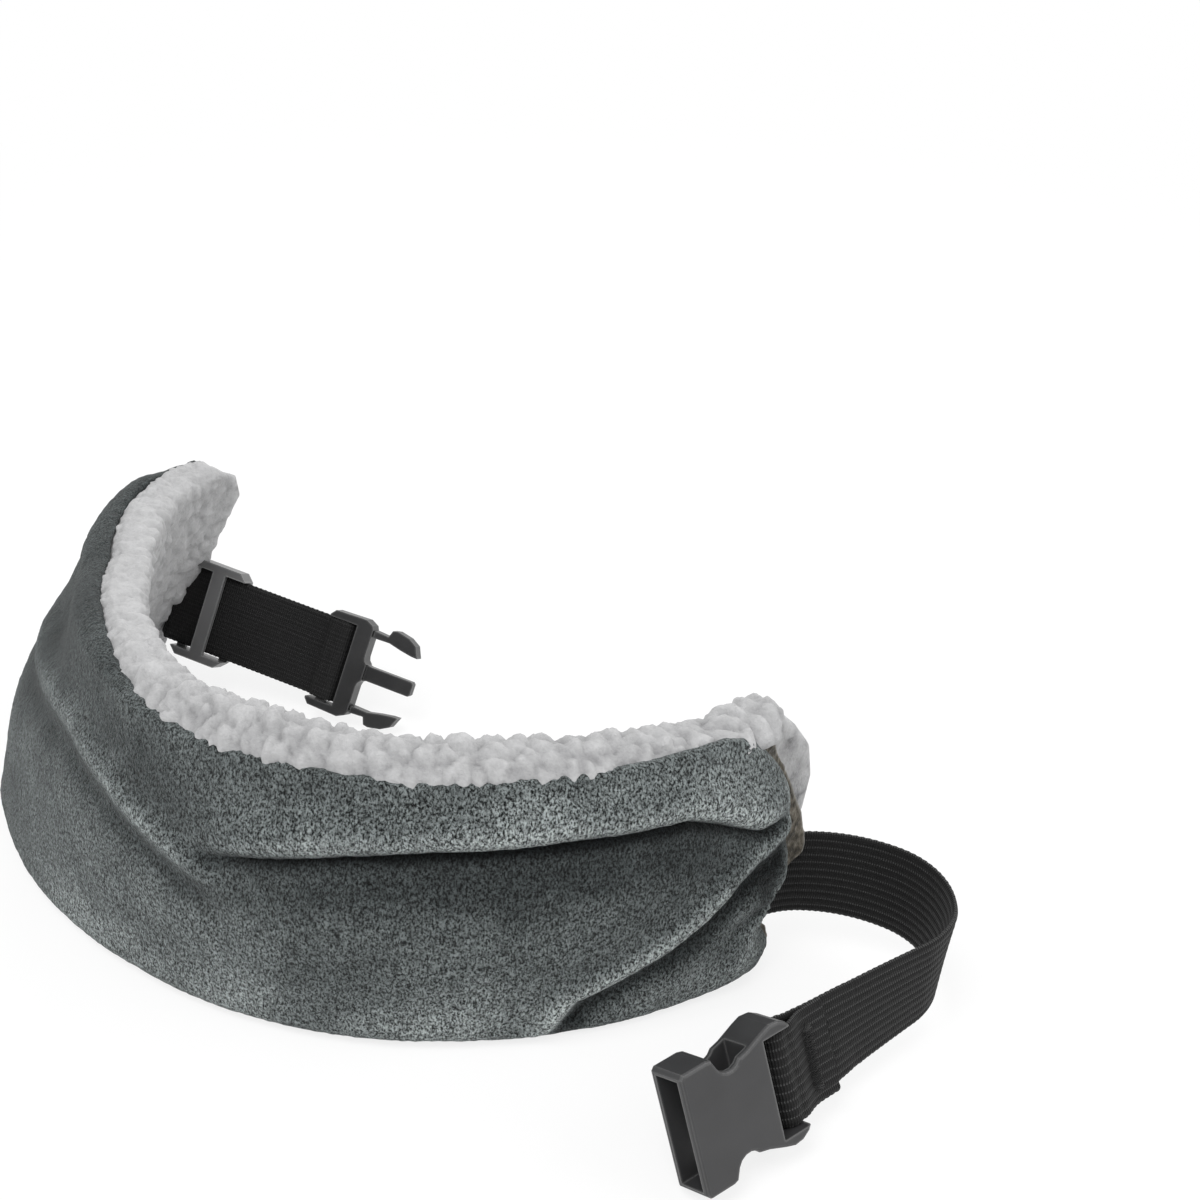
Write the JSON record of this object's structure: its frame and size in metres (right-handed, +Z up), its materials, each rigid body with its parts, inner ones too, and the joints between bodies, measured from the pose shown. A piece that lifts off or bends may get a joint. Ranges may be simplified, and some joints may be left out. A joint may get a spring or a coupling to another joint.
{
  "type": "padded strap band",
  "caption": "Curved padded band of plush and fleece that closes round something with an elastic strap, a webbing strap and a side-release buckle.",
  "frame": {"origin": "on the surface that the band stands on, at the centre of its bounding box", "axes": "+Z up from the long edge that the band stands on; the open side of the C faces +Y and +X; the elastic strap leaves the end at +X"},
  "size_m": [0.2608, 0.2596, 0.0859],
  "materials": {
    "velvet": "matte",
    "sherpa": "matte",
    "padding": "matte",
    "binding": "matte",
    "elastic": "matte",
    "thread": "matte",
    "buckle_plastic": "satin",
    "slider_plastic": "satin"
  },
  "bodies": {
    "pad_right": {"velvet_cover_right": "velvet", "sherpa_lining_right": "sherpa", "padding_core_right": "padding", "end_binding": "binding", "elastic_root_tab": "elastic"},
    "pad_left": {"velvet_cover_left": "velvet", "sherpa_lining_left": "sherpa", "padding_core_left": "padding", "webbing_root_tab": "elastic"},
    "long_strap": {"elastic_strap": "elastic"},
    "strap_end": {"elastic_fold_back": "elastic", "fold_bartack": "thread"},
    "female_buckle": {"female_buckle": "buckle_plastic"},
    "short_strap": {"webbing_strap": "elastic"},
    "slider": {"slider": "slider_plastic"},
    "male_buckle": {"male_buckle": "buckle_plastic"},
    "latch_arm_upper": {"latch_arm_upper": "buckle_plastic"},
    "latch_arm_lower": {"latch_arm_lower": "buckle_plastic"}
  },
  "joints": [
    {"name": "pad_flex", "type": "hinge", "parent": "pad_right", "child": "pad_left", "pos_m": [-0.08063, -0.04615, 0], "axis": [0, 0, 1], "range_deg": [-10, 40], "stiffness_Nm_per_rad": 0.3},
    {"name": "long_strap_bend", "type": "hinge", "parent": "pad_right", "child": "long_strap", "pos_m": [0.08607, -0.03693, 0.02699], "axis": [0.0024, 0.0018, 1], "range_deg": [-8, 30], "stiffness_Nm_per_rad": 0.05},
    {"name": "strap_end_bend", "type": "hinge", "parent": "long_strap", "child": "strap_end", "pos_m": [0.12838, -0.05624, 0.02348], "axis": [0.1005, -0.0902, 0.9908], "range_deg": [-12, 60], "stiffness_Nm_per_rad": 0.05},
    {"name": "female_buckle_swing", "type": "hinge", "parent": "strap_end", "child": "female_buckle", "pos_m": [0.08202, -0.10249, 0.019], "axis": [-0.2443, 0.2841, 0.9272], "range_deg": [-20, 40]},
    {"name": "short_strap_bend", "type": "hinge", "parent": "pad_left", "child": "short_strap", "pos_m": [-0.08385, 0.10577, 0.02768], "axis": [0.3163, 0.381, 0.8688], "range_deg": [-25, 25], "stiffness_Nm_per_rad": 0.05},
    {"name": "slider_slide", "type": "slide", "parent": "short_strap", "child": "slider", "axis": [0.9084, -0.3856, -0.1616], "range_m": [0, 0.02]},
    {"name": "male_buckle_swing", "type": "hinge", "parent": "short_strap", "child": "male_buckle", "pos_m": [-0.03344, 0.08437, 0.01871], "axis": [0.3163, 0.381, 0.8688], "range_deg": [-35, 35]},
    {"name": "latch_arm_upper_press", "type": "hinge", "parent": "male_buckle", "child": "latch_arm_upper", "pos_m": [-0.01987, 0.08502, 0.02781], "axis": [0.2734, 0.8403, -0.4681], "range_deg": [0, 12], "stiffness_Nm_per_rad": 0.02},
    {"name": "latch_arm_lower_press", "type": "hinge", "parent": "male_buckle", "child": "latch_arm_lower", "pos_m": [-0.02775, 0.07554, 0.00618], "axis": [-0.2734, -0.8403, 0.4681], "range_deg": [0, 12], "stiffness_Nm_per_rad": 0.02}
  ]
}
